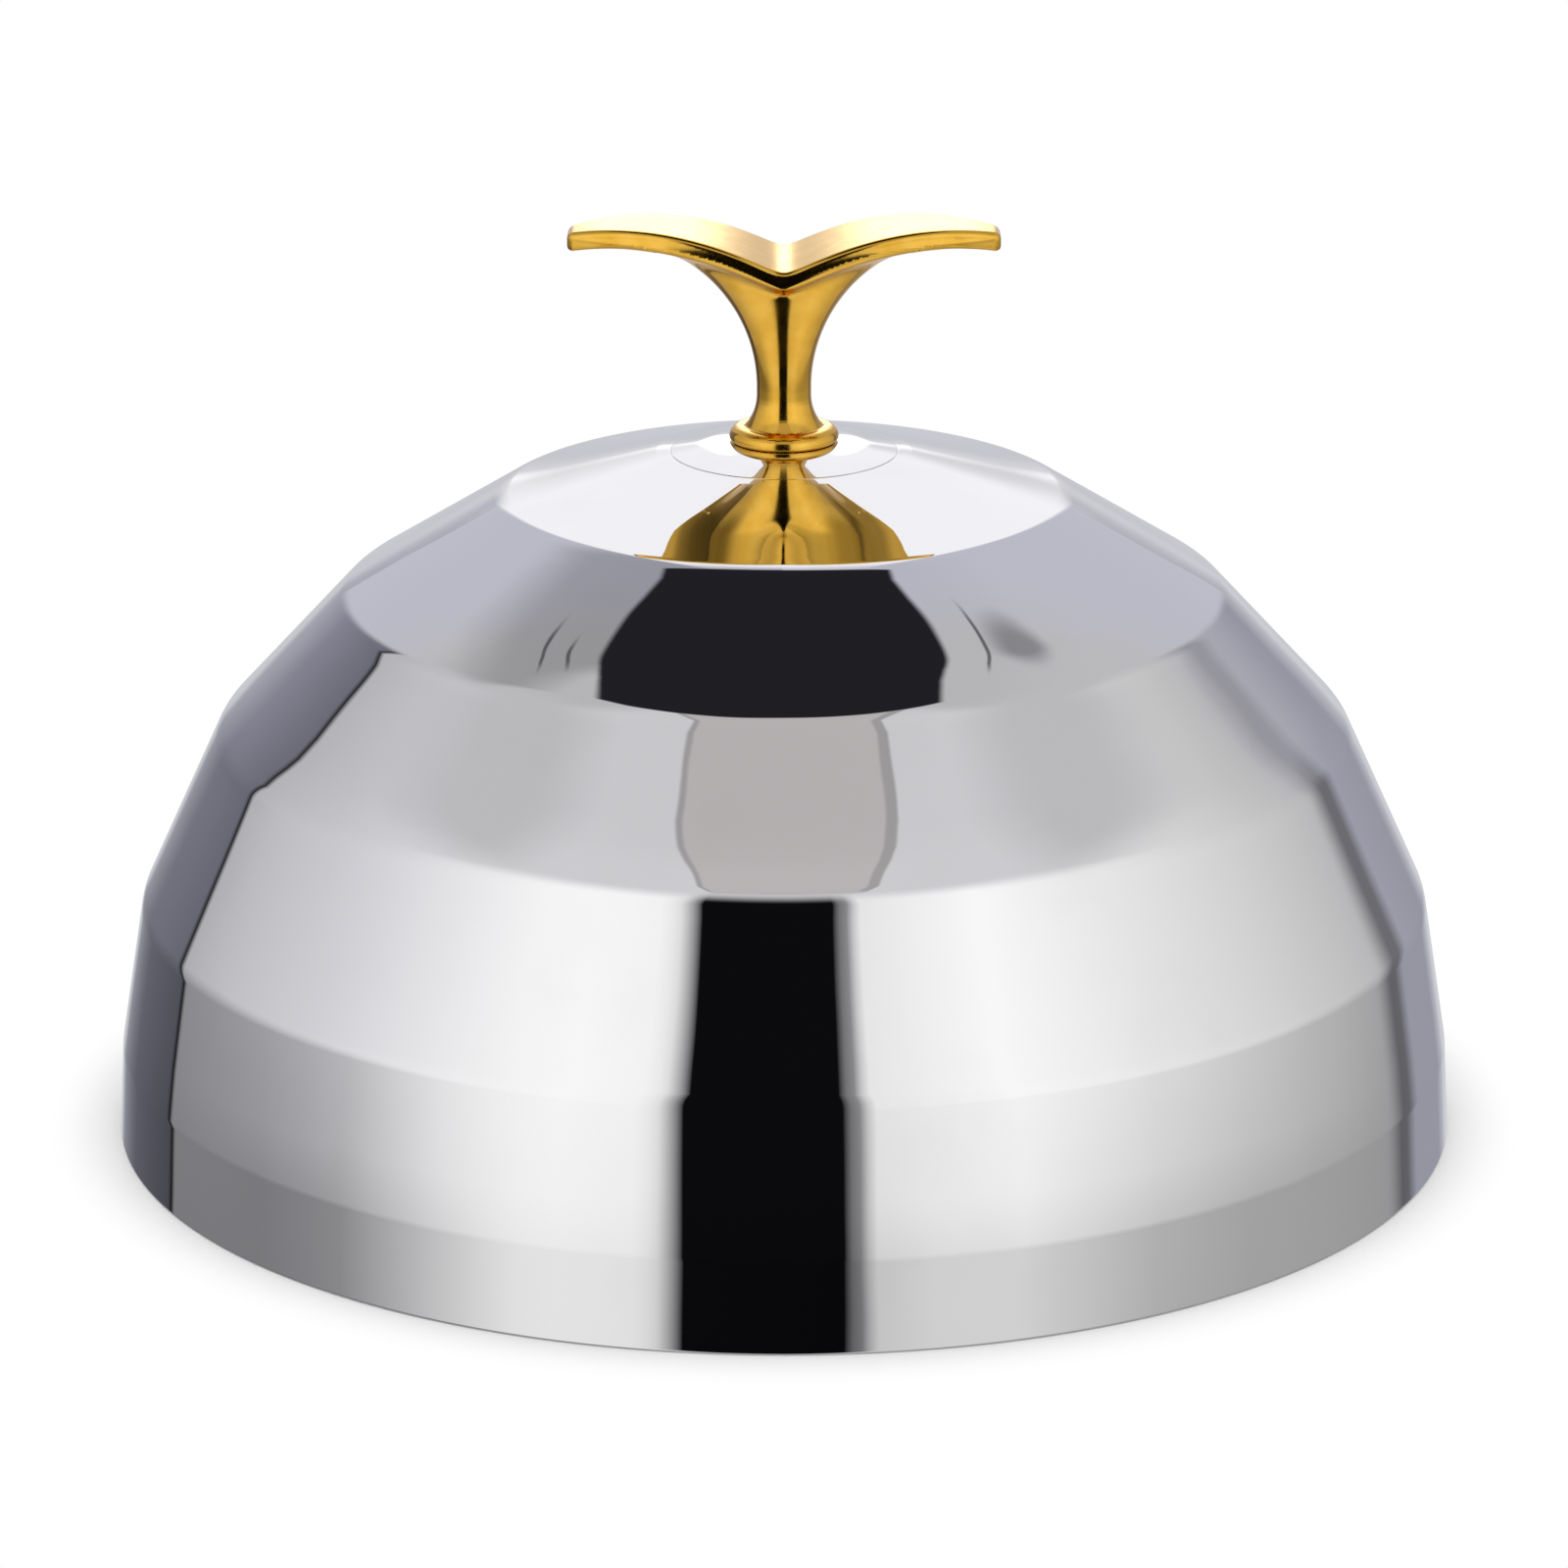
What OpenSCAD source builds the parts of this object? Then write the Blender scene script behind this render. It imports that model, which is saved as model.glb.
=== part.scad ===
// Buffet food cover: a sheet-metal dome in conical bands, with a winged cast handle on top.
// The origin is the centre of the rim's resting plane, +Z is up and the wings lie along X.

/* [Shell] */
// Outside diameter at the rim
rim_d = 300; // [240:2:360]
// Height of the flat crown above the rim
crown_h = 154.2; // [120:0.2:190]
// Diameter of the flat crown, up to the corner of its crease
crown_d = 54; // [54:1:64]
// Thickness of the shell's sheet
sheet_t = 1; // [0.6:0.1:1.6]
// Outside radius of the bend at each crease
crease_r = 12; // [4:0.5:14]
// Height of the hem folded up inside the rim
hem_h = 7; // [4:0.5:12]
// Radius of the hem's rounded corners
hem_r = 0.4; // [0.1:0.05:0.5]

/* [Rosette] */
// Height of the rosette's top above the crown
rosette_h = 2.4; // [1.8:0.1:4]
// Thickness of the rosette's sheet
rosette_t = 0.6; // [0.4:0.1:1]
// Diameter of the rosette's flat top
rosette_top_d = 24.4; // [21.6:0.2:30]
// Diameter of the whole rosette
rosette_d = 50.2; // [44:0.2:50.2]

/* [Wings] */
// Span of the wings from tip to tip
wing_span = 94.8; // [90:0.4:116]
// Depth of the wings from front to back at the middle
wing_depth = 28.5; // [26:0.5:38]
// Depth of the wings from front to back at the tips
tip_depth = 7.5; // [5:0.5:14]
// Thickness of the wings
wing_t = 4.2; // [2.6:0.1:5]
// Height of the wings' highest line above the foot's underside
handle_h = 49.1; // [47:0.1:64]
// Depth of the valley between the wings
valley_drop = 8.6; // [4:0.2:12]
// Distance of each wing's highest point from the middle
wing_peak = 33; // [24:0.5:38]
// Length of each wing's rounded tip
tip_round = 2.4; // [1:0.2:5]

/* [Stem] */
// Diameter of the stem at its waist
stem_d = 12; // [10:0.2:16]
// Height of the waist above the foot's underside
waist_h = 12; // [11:0.2:14]
// Width of the flare where it ends inside the wings
flare_w = 73; // [64:1:80]
// Depth of the flare from front to back where it ends inside the wings
flare_depth = 25; // [18:0.5:26]
// Diameter of the round foot
foot_d = 24.2; // [22:0.2:28]
// Thickness of the round foot
foot_t = 3.4; // [2.6:0.1:4.5]
// Diameter of the stem where it leaves the foot
base_d = 17.2; // [15:0.2:19]
// Height of the hollow curve from the foot to the stem
base_h = 7; // [5:0.2:7.4]

/* [Fastening] */
// Diameter of the threaded stud
stud_d = 6; // [5:0.5:7]
// Length of the stud inside the handle
stud_grip = 11; // [8:0.5:13]
// Gap around the stud in the threads, on the radius
thread_gap = 0.05; // [0.02:0.01:0.1]
// Gap around the stud in the plain holes, on the radius
hole_gap = 0.3; // [0.15:0.05:0.5]
// Diameter of the seal between the crown and the rosette
seal_d = 21; // [14:0.5:24]
// Diameter of the flat washer
washer_d = 18; // [13:0.5:24]
// Thickness of the flat washer
washer_t = 1.6; // [1:0.1:2.5]
// Diameter of the spring washer
spring_d = 11.8; // [10:0.2:14]
// Thickness of the spring washer
spring_t = 1.6; // [1:0.1:2.2]
// Width of the slit in the spring washer
spring_slit = 0.8; // [0.4:0.1:1.4]
// Width of the cap nut across its flats
nut_af = 10; // [9.5:0.5:13]
// Height of the cap nut's hexagon
nut_hex_h = 5.5; // [4:0.5:7]
// Height of the whole cap nut
nut_h = 12; // [11.5:0.5:15]
// Length of the stud inside the cap nut
nut_grip = 6.4; // [4.5:0.2:7]
// Free length above the stud inside the cap nut
nut_spare = 1.2; // [0.6:0.2:2]

/* [Hidden] */
$fn = 96;

// Creases from the crown to the rim, as shares of the rim's radius and of the crown's height
crease_shares = [
    [0.417, 0.939], [0.652, 0.796], [0.839, 0.598], [0.958, 0.344], [0.993, 0.13],
];
// Squareness of the wings' section, and of the flare's section at the waist and at the wings
wing_power = 6;
waist_power = 2;
flare_power = 3.2;
// How late the flare deepens on its way up
deepen_power = 1.5;
// Points around a section, stations along a wing, rings up the flare and steps on an arc
section_n = 28;
ring_n = 40;
station_n = 18;
tip_n = 5;
flare_n = 14;
arc_n = 6;
// Last angle of the rounded tips, and how their thickness falls away
tip_angle = 86;
tip_power = 0.5;
// Height of the foot's widest line, as a share of its thickness
foot_low_share = 0.3;
// Chamfer on the stud's ends, as a share of its radius
stud_chamfer_share = 0.2;
// Sides of the nut, and the slope at which its corners are trimmed
nut_sides = 6;
nut_trim_angle = 30;
// Width of the nut's round cap, as a share of its width across the flats
nut_cap_share = 0.95;
// Shares of the waist's radius by which the flare stands back from the stem's edge and is rooted in it
step_share = 0.01;
root_share = 0.2;
// Overrun of every cut
cut = 1;

rim_r = rim_d / 2;
crown_r = crown_d / 2;
stem_r = stem_d / 2;
stud_r = stud_d / 2;
hole_r = stud_r + hole_gap;
thread_r = stud_r + thread_gap;

// Heights of the stack on the axis, from the nut up to the wings
inside_z = crown_h - sheet_t;
foot_z = crown_h + rosette_h;
waist_z = foot_z + waist_h;
peak_z = foot_z + handle_h;
spring_z = inside_z - washer_t - spring_t;
nut_z = spring_z - nut_h;
stud_low_z = spring_z - nut_grip;
stud_high_z = foot_z + stud_grip;

function unit(v) = v / norm(v);
function outward(a, b) = unit([a[1] - b[1], b[0] - a[0]]);

// Moves every corner of an outline inwards by a distance, square to its sides
function inset(path, distance) = [
    for (i = [0 : len(path) - 1])
        let (
            before = i == 0 ? outward(path[0], path[1]) : outward(path[i - 1], path[i]),
            after = i == len(path) - 1 ? before : outward(path[i], path[i + 1])
        )
        path[i] - distance * (before + after) / (1 + before * after)
];

// Rounds the corner b between a and c with an arc of the given radius
function round_corner(a, b, c, radius) =
    let (
        u = unit(a - b),
        v = unit(c - b),
        half = acos(u * v) / 2,
        centre = b + unit(u + v) * radius / sin(half),
        start = b + u * radius / tan(half) - centre,
        finish = b + v * radius / tan(half) - centre
    )
    [for (i = [0 : arc_n])
        centre + radius * unit(start * (arc_n - i) + finish * i)];

// Rounds the inner corners of an open outline, all with one radius
function round_path(path, radius) = concat(
    [path[0]],
    [for (i = [1 : len(path) - 2])
        each round_corner(path[i - 1], path[i], path[i + 1], radius)],
    [path[len(path) - 1]]
);

function reversed(list) = [for (i = [len(list) - 1 : -1 : 0]) list[i]];

// Outline of the shell's outside, from the hole in the crown to the rim
shell_outside = concat(
    [[hole_r, crown_h], [crown_r, crown_h]],
    [for (s = crease_shares) [rim_r * s[0], crown_h * s[1]]],
    [[rim_r, 0]]
);
skirt_top = shell_outside[len(shell_outside) - 2];
function skirt_r(z) = rim_r - (rim_r - skirt_top[0]) * z / skirt_top[1];

module dome_shell() {
    inside = inset(shell_outside, sheet_t);
    hem_low = [rim_r - 2 * sheet_t, 0];
    hem_high = [skirt_r(hem_h) - 2 * sheet_t, hem_h];
    hem_root = [skirt_r(hem_h) - sheet_t, hem_h];
    outer = round_path(shell_outside, crease_r);
    inside_creases = [for (i = [1 : len(inside) - 2]) inside[i]];
    inner = round_path(concat([[hole_r, inside_z]], inside_creases, [hem_root]), crease_r - sheet_t);
    last = len(outer) - 1;
    hem = concat(
        round_corner(outer[last - 1], outer[last], hem_low, hem_r),
        round_corner(outer[last], hem_low, hem_high, hem_r),
        round_corner(hem_low, hem_high, hem_root, hem_r)
    );
    color("gainsboro")
        rotate_extrude()
            polygon(concat([for (i = [0 : last - 1]) outer[i]], hem, reversed(inner)));
}

// Top line of the rosette, a hollow curve from its flat top down to its edge
rosette_r = rosette_d / 2;
rosette_top_r = rosette_top_d / 2;
rosette_run = rosette_r - rosette_top_r;
rosette_rise = rosette_h - rosette_t;
rosette_curve_r = (rosette_run ^ 2 + rosette_rise ^ 2) / (2 * rosette_rise);
rosette_angle = asin(rosette_run / rosette_curve_r);
rosette_line = concat(
    [[hole_r, rosette_h]],
    [for (i = [0 : 2 * arc_n])
        let (angle = rosette_angle * (1 - i / (2 * arc_n)))
        [rosette_r - rosette_curve_r * sin(angle), rosette_t + rosette_curve_r * (1 - cos(angle))]]
);

module handle_rosette() {
    under = [for (p = reversed(rosette_line)) p - [0, rosette_t]];
    color("lightgray")
        translate([0, 0, crown_h])
            rotate_extrude()
                polygon(concat(rosette_line, under));
}

module ring(outer_r, inner_r, thickness) {
    difference() {
        cylinder(r = outer_r, h = thickness);
        translate([0, 0, -cut])
            cylinder(r = inner_r, h = thickness + 2 * cut);
    }
}

module seal_washer() {
    color("dimgray")
        translate([0, 0, crown_h])
            ring(seal_d / 2, hole_r, rosette_h - rosette_t);
}

// A rounded, more or less square loop of points, from its half sizes
function loop_point(half_a, half_b, power, angle) = [
    half_a * sign(cos(angle)) * abs(cos(angle)) ^ (2 / power),
    half_b * sign(sin(angle)) * abs(sin(angle)) ^ (2 / power),
];

// Triangles of the wall between the loops of a loft
function wall_faces(loops, n) = [
    for (j = [0 : loops - 2], i = [0 : n - 1], half = [0, 1])
        let (a = j * n + i, b = j * n + (i + 1) % n)
        half == 0 ? [a, b + n, b] : [a, a + n, b + n]
];

// Height of the wings' middle surface and half their depth, at a distance from the middle
function wing_mid(x) = peak_z - wing_t / 2 - valley_drop * ((x - wing_peak) / wing_peak) ^ 2;
function wing_half(x) =
    (wing_depth - (wing_depth - tip_depth) * (x / (wing_span / 2)) ^ 2) / 2;

// Places along one wing, each with the share of the section that is left at the rounded tip
tip_start = wing_span / 2 - tip_round;
wing_stations = concat(
    [for (i = [0 : station_n - 1]) [tip_start * i / station_n, 1]],
    [for (i = [0 : tip_n])
        let (angle = tip_angle * i / tip_n)
        [tip_start + tip_round * sin(angle), cos(angle)]]
);
wing_last = len(wing_stations) - 1;

module wing_bar() {
    stations = concat(
        [for (i = [wing_last : -1 : 1]) [-wing_stations[i][0], wing_stations[i][1]]],
        wing_stations
    );
    points = [
        for (s = stations, i = [0 : section_n - 1])
            let (
                x = abs(s[0]),
                left = s[1],
                p = loop_point(wing_half(x) - tip_round * (1 - left), wing_t / 2 * left ^ tip_power,
                    wing_power, 360 * i / section_n)
            )
            [s[0], p[0], wing_mid(x) + p[1]]
    ];
    loops = len(stations);
    near = [for (i = [0 : section_n - 1]) i];
    far = [for (i = [section_n - 1 : -1 : 0]) (loops - 1) * section_n + i];
    polyhedron(points, concat([near], wall_faces(loops, section_n), [far]), convexity = 6);
}

// The flare's sides are arcs that leave the waist upright and end in the wings' middle surface
neck_r = stem_r * (1 - step_share);
flare_run = flare_w / 2 - neck_r;
flare_rise = wing_mid(flare_w / 2) - waist_z;
flare_r = (flare_rise ^ 2 + flare_run ^ 2) / (2 * flare_run);

// The flare's rings rise from the round waist into the wings, each bent more like the wings
module flare() {
    function half_w(u) = neck_r + flare_r - sqrt(flare_r ^ 2 - (flare_rise * u) ^ 2);
    function half_d(u) = neck_r + (flare_depth / 2 - neck_r) * u ^ deepen_power;
    function height(u, share) = waist_z + u * (wing_mid(abs(share) * flare_w / 2) - waist_z);
    root = [for (i = [0 : ring_n - 1])
        let (p = loop_point(neck_r, neck_r, waist_power, 360 * i / ring_n) * (1 - root_share))
        [p[0], p[1], waist_z - stem_r * root_share]];
    rings = [for (j = [0 : flare_n], i = [0 : ring_n - 1])
        let (
            u = j / flare_n,
            p = loop_point(half_w(u), half_d(u), waist_power + (flare_power - waist_power) * u,
                360 * i / ring_n)
        )
        [p[0], p[1], height(u, p[0] / half_w(u))]];
    loops = flare_n + 2;
    start = (loops - 1) * ring_n;
    half_n = ring_n / 2;
    floor_face = [for (i = [0 : ring_n - 1]) i];
    roof = [for (i = [0 : half_n - 1])
        i == 0 ? [start, start + ring_n - 1, start + 1]
        : i == half_n - 1 ? [start + i, start + half_n + 1, start + half_n]
        : [start + i, start + ring_n - i, start + ring_n - i - 1, start + i + 1]];
    points = concat(root, rings);
    polyhedron(points, concat([floor_face], wall_faces(loops, ring_n), roof), convexity = 6);
}

// Outline of the round foot and stem: a tight curve under the foot's widest line, a wide curve above it
// and a hollow curve up to the waist
module foot_and_stem() {
    low_r = foot_t * foot_low_share;
    high_r = foot_t - low_r;
    base_r = base_d / 2;
    hollow_r = (base_h ^ 2 + (base_r - stem_r) ^ 2) / (2 * (base_r - stem_r));
    hollow_angle = asin(base_h / hollow_r);
    edge = [for (i = [-arc_n : arc_n])
        let (angle = 90 * i / arc_n, edge_r = i < 0 ? low_r : high_r)
        [foot_d / 2 - edge_r + edge_r * cos(angle), low_r + edge_r * sin(angle)]];
    hollow = [for (i = [0 : 2 * arc_n])
        let (angle = hollow_angle * (1 - i / (2 * arc_n)))
        [stem_r + hollow_r * (1 - cos(angle)), foot_t + base_h - hollow_r * sin(angle)]];
    translate([0, 0, foot_z])
        rotate_extrude()
            polygon(concat([[0, 0]], edge, hollow, [[stem_r, waist_h], [0, waist_h]]));
}

module winged_handle() {
    color("goldenrod")
        difference() {
            union() {
                wing_bar();
                flare();
                foot_and_stem();
            }
            translate([0, 0, foot_z - cut])
                cylinder(r = thread_r, h = stud_grip + cut);
        }
}

module handle_stud() {
    chamfer = stud_r * stud_chamfer_share;
    length = stud_high_z - stud_low_z;
    color("silver")
        translate([0, 0, stud_low_z])
            rotate_extrude()
                polygon([
                    [0, 0], [stud_r - chamfer, 0], [stud_r, chamfer],
                    [stud_r, length - chamfer], [stud_r - chamfer, length], [0, length],
                ]);
}

module flat_washer() {
    color("silver")
        translate([0, 0, inside_z - washer_t])
            ring(washer_d / 2, hole_r, washer_t);
}

module spring_washer() {
    slit_angle = 2 * asin(spring_slit / spring_d);
    color("darkgray")
        translate([0, 0, spring_z])
            rotate([0, 0, slit_angle / 2])
                rotate_extrude(angle = 360 - slit_angle)
                    translate([hole_r, 0])
                        square([spring_d / 2 - hole_r, spring_t]);
}

// The nut's hexagon is trimmed by cones at both ends, and the closed end below it is a round cap
module cap_nut() {
    flat_r = nut_af / 2;
    corner_r = flat_r / cos(180 / nut_sides);
    cap_r = flat_r * nut_cap_share;
    trim_h = (corner_r - flat_r) * tan(nut_trim_angle);
    color("silver")
        translate([0, 0, nut_z])
            difference() {
                union() {
                    translate([0, 0, nut_h - nut_hex_h])
                        intersection() {
                            cylinder(r = corner_r, h = nut_hex_h, $fn = nut_sides);
                            rotate_extrude()
                                polygon([
                                    [0, 0], [flat_r, 0], [corner_r, trim_h],
                                    [corner_r, nut_hex_h - trim_h], [flat_r, nut_hex_h], [0, nut_hex_h],
                                ]);
                        }
                    translate([0, 0, cap_r])
                        cylinder(r = cap_r, h = nut_h - nut_hex_h / 2 - cap_r);
                    translate([0, 0, cap_r])
                        sphere(r = cap_r);
                }
                translate([0, 0, nut_h - nut_grip - nut_spare])
                    cylinder(r = thread_r, h = nut_grip + nut_spare + cut);
            }
}

dome_shell();
handle_rosette();
winged_handle();
seal_washer();
handle_stud();
flat_washer();
spring_washer();
cap_nut();
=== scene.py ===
# %% [markdown]
# # A buffet food cover with a winged handle
#
# The cover is a thin steel dome, pressed into conical bands and polished like a mirror. A gold-plated cast
# handle with two wings stands on top, held from inside by a stud, two washers and a cap nut. This script
# dresses the plain solids of the part in Blender. It reads top to bottom, like a notebook. Sizes of pieces
# are written in millimetres, and MM turns them into Blender's metres.

# %% Load the solids of the part
import math

import bpy
import numpy as np
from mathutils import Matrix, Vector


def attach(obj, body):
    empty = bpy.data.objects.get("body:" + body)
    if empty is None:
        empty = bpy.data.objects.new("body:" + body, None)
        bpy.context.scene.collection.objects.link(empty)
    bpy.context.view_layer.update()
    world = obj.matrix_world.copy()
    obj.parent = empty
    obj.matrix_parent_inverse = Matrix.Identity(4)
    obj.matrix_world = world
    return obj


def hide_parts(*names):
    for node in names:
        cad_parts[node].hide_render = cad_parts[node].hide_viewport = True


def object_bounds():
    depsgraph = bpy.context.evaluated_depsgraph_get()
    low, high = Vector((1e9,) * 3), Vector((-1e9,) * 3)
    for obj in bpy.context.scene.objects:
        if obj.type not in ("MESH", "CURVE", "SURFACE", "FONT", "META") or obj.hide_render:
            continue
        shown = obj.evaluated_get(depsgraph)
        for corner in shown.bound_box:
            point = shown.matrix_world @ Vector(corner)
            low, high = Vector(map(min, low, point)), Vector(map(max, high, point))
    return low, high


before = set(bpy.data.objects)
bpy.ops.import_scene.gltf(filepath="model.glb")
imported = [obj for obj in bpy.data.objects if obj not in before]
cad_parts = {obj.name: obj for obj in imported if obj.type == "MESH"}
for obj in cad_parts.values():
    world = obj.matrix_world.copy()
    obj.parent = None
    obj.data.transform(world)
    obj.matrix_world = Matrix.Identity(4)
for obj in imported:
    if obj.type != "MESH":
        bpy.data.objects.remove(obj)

cad_box = [list(corner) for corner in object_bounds()]
scene = bpy.context.scene
scene.view_settings.view_transform = "Standard"
MM = 0.001
WHITE = (1.0, 1.0, 1.0, 1.0)
print("solids:", sorted(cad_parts), "in a box of", [round(v, 4) for v in cad_box[1]])

# %% [markdown]
# ## The camera
#
# The photograph was taken from a good distance with a long lens: the ellipses of the creases fix the lens,
# the distance and the tilt. A camera that is fitted before any modelling saves guessing later, because
# every edge can then be laid over the photograph. It looks along +Y and a little down.

# %% Place the camera
LOOKS_DOWN = 17.565
camera_data = bpy.data.cameras.new("photo_camera")
camera_data.sensor_width = 36.0
camera_data.lens = 168.75
camera_data.clip_end = 100.0
camera = bpy.data.objects.new("photo_camera", camera_data)
camera.location = (0.0, -1.5688, 0.5735)
camera.rotation_euler = (math.radians(90 - LOOKS_DOWN), 0.0, 0.0)
scene.collection.objects.link(camera)
scene.camera = camera
print("camera at", tuple(round(v, 3) for v in camera.location), "with a lens of", camera_data.lens, "mm")

# %% [markdown]
# ## Sums with sockets
#
# A finish is a small net of nodes. Wiring each Math node by hand hides the idea, so this class wraps an
# output socket and lets Python's own signs add the nodes: `1 - mask` becomes a Subtract node. Everything
# that isn't a sum comes from one method, `node`, which sets the node's options first and its sockets next.

# %% A wire that can be added and multiplied
class Wire:
    """An output socket in a node tree, usable in plain sums."""

    def __init__(self, tree, socket=None):
        self.tree = tree
        self.socket = socket

    def node(self, kind, options=None, sockets=None, out=0):
        made = self.tree.nodes.new(kind)
        for name, value in (options or {}).items():
            if name == "stops":
                while len(made.color_ramp.elements) < len(value):
                    made.color_ramp.elements.new(1.0)
                for stop, (place, colour) in zip(made.color_ramp.elements, value):
                    stop.position = place
                    stop.color = (*colour, 1.0)
            else:
                setattr(made, name, value)
        for name, value in (sockets or {}).items():
            if isinstance(value, Wire):
                self.tree.links.new(value.socket, made.inputs[name])
            else:
                made.inputs[name].default_value = value
        return Wire(self.tree, made.outputs[out] if made.outputs else None)

    def math(self, operation, *terms):
        return self.node("ShaderNodeMath", {"operation": operation}, dict(enumerate(terms)))

    def __add__(self, other):
        return self.math("ADD", self, other)

    def __sub__(self, other):
        return self.math("SUBTRACT", self, other)

    def __rsub__(self, other):
        return self.math("SUBTRACT", other, self)

    def __mul__(self, other):
        return self.math("MULTIPLY", self, other)

    def __truediv__(self, other):
        return self.math("DIVIDE", self, other)

    def __rtruediv__(self, other):
        return self.math("DIVIDE", other, self)

    __radd__ = __add__
    __rmul__ = __mul__


print("sums with sockets are ready")

# %% [markdown]
# Two shapes of change come back all the time: a soft step, up or down, and a blend of two colours. Colours
# go through a Mix node, because a Math node would turn them grey.

# %% Soft steps and blends
def rises(value, low, high, start=0.0, end=1.0):
    """A soft step from start to end while the value goes from low to high."""
    return value.node("ShaderNodeMapRange", {"interpolation_type": "SMOOTHSTEP"},
                      {"Value": value, 1: low, 2: high, 3: start, 4: end})


def falls(value, low, high, start=1.0):
    """A soft step from start down to 0 while the value goes from low to high."""
    return rises(value, low, high, start, 0.0)


def blend(wire, factor, first, second):
    """A colour that goes from the first to the second as the factor goes from 0 to 1."""
    return wire.node("ShaderNodeMix", {"data_type": "RGBA"}, {0: factor, 6: first, 7: second}, out=2)


def parts_of(vector):
    """The X, Y and Z of a vector, each as a wire."""
    split = vector.node("ShaderNodeSeparateXYZ", None, {0: vector}).socket.node
    return [Wire(vector.tree, socket) for socket in split.outputs]


print("soft steps and blends are ready")

# %% [markdown]
# ## Finishes
#
# Each finish is a Principled surface. What is the same all over is set on the socket itself; what changes
# over the surface, such as polishing marks, is a net of nodes on Base Color, Roughness and Normal. All of
# it is worked out in the piece's own coordinates, in metres, so the marks keep their real size.

# %% A new finish
def new_finish(name, colour, metallic, roughness):
    """A material with a first wire to build on and its Principled node."""
    material = bpy.data.materials.new(name)
    material.use_nodes = True
    tree = material.node_tree
    surface = tree.nodes["Principled BSDF"]
    surface.inputs["Base Color"].default_value = (*colour, 1.0)
    surface.inputs["Metallic"].default_value = metallic
    surface.inputs["Roughness"].default_value = roughness
    return material, Wire(tree), surface


def feed(surface, name, wire):
    """Lets a wire drive one socket of the surface."""
    wire.tree.links.new(wire.socket, surface.inputs[name])


def bumped(surface, height, depth):
    """Lets a height between 0 and 1 tilt the surface, as if it were that many metres deep."""
    bump = height.node("ShaderNodeBump", None, {"Height": height, "Strength": 1.0, "Distance": depth})
    feed(surface, "Normal", bump)


print("a finish can be started")

# %% [markdown]
# A wheel or a lathe leaves marks that are the same all around the axis. Noise that only looks at the
# distance from the axis and the height gives such rings, and noise at the point itself gives spots.

# %% Places and marks on a piece
def own_point(wire):
    """The point on the piece, in metres."""
    return wire.node("ShaderNodeTexCoord", out="Object")


def round_axis(point):
    """A point's distance from the axis and its height, as wires."""
    x, y, z = parts_of(point)
    square = x * x + y * y
    return square.math("SQRT", square), z


def noise(wire, point, scale, detail):
    """Spots of which about `scale` fit in a metre."""
    return wire.node("ShaderNodeTexNoise", None, {"Vector": point, "Scale": scale, "Detail": detail})


def rings_on(radius, height, per_metre, detail):
    """Rings around the axis, as a wheel or a lathe leaves them."""
    place = radius.node("ShaderNodeCombineXYZ", None, {0: radius * per_metre, 1: height * per_metre})
    return noise(radius, place, 1.0, detail)


print("spots and rings are ready")

# %% [markdown]
# ### Mirror-polished steel
#
# The dome's sheet was spun or pressed and then buffed on a wheel. A buffed sheet isn't flat glass: it waves
# by a fraction of a millimetre, which makes straight reflections wander, more so in the two bands below the
# top cone, and the wheel leaves hair-fine rings around the axis. Fingers leave a few dull smudges.

# %% Mirror steel
mirror_steel, net, surface = new_finish("mirror_steel", (0.84, 0.845, 0.855), 1.0, 0.04)
point = own_point(net)
radius, height = round_axis(point)
rings = rings_on(radius, height, 1400.0, 1.0)
buckled = rises(height, 0.085, 0.1) * falls(height, 0.13, 0.145)
waves = noise(net, point, 16.0, 1.0) + noise(net, point, 45.0, 1.0) * (buckled * 0.4 + 0.06)
smudges = noise(net, point, 38.0, 4.0)
clean, dull = (0.857, 0.85, 0.858, 1.0), (0.83, 0.822, 0.827, 1.0)
feed(surface, "Base Color", blend(net, rises(smudges, 0.5, 0.85), clean, dull))
feed(surface, "Roughness", rises(smudges, 0.45, 0.8, 0.008, 0.02) + rings * 0.008)
bumped(surface, waves, 0.25 * MM)
print(mirror_steel.name, "has", len(mirror_steel.node_tree.nodes), "nodes")

# %% [markdown]
# Inside, where nobody buffs, the sheet stays satin: rougher, with plain rings from its forming and a few
# faint stains from steam. It is the same sheet, so it gets a second finish and not a second piece.

# %% Satin steel for the inside of the dome
satin_inside, net, surface = new_finish("satin_inside", (0.7, 0.7, 0.71), 1.0, 0.3)
point = own_point(net)
rings = rings_on(*round_axis(point), 900.0, 2.0)
stains = noise(net, point, 24.0, 4.0)
clean, dull = (0.72, 0.72, 0.725, 1.0), (0.62, 0.615, 0.61, 1.0)
feed(surface, "Base Color", blend(net, rises(stains, 0.4, 0.8), clean, dull))
feed(surface, "Roughness", rises(rings, 0.3, 0.7, 0.24, 0.34))
bumped(surface, rings, 0.004 * MM)
print(satin_inside.name, "has", len(satin_inside.node_tree.nodes), "nodes")

# %% [markdown]
# ### Polished gold plating
#
# The handle is a zinc casting, buffed by hand and plated. Hand buffing rounds every edge and leaves slow
# dips in the wings, and fingers dull the plating a little, so the roughness and tone drift over a few
# millimetres. A metal's colour is its base colour: there is no paint on top.

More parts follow.
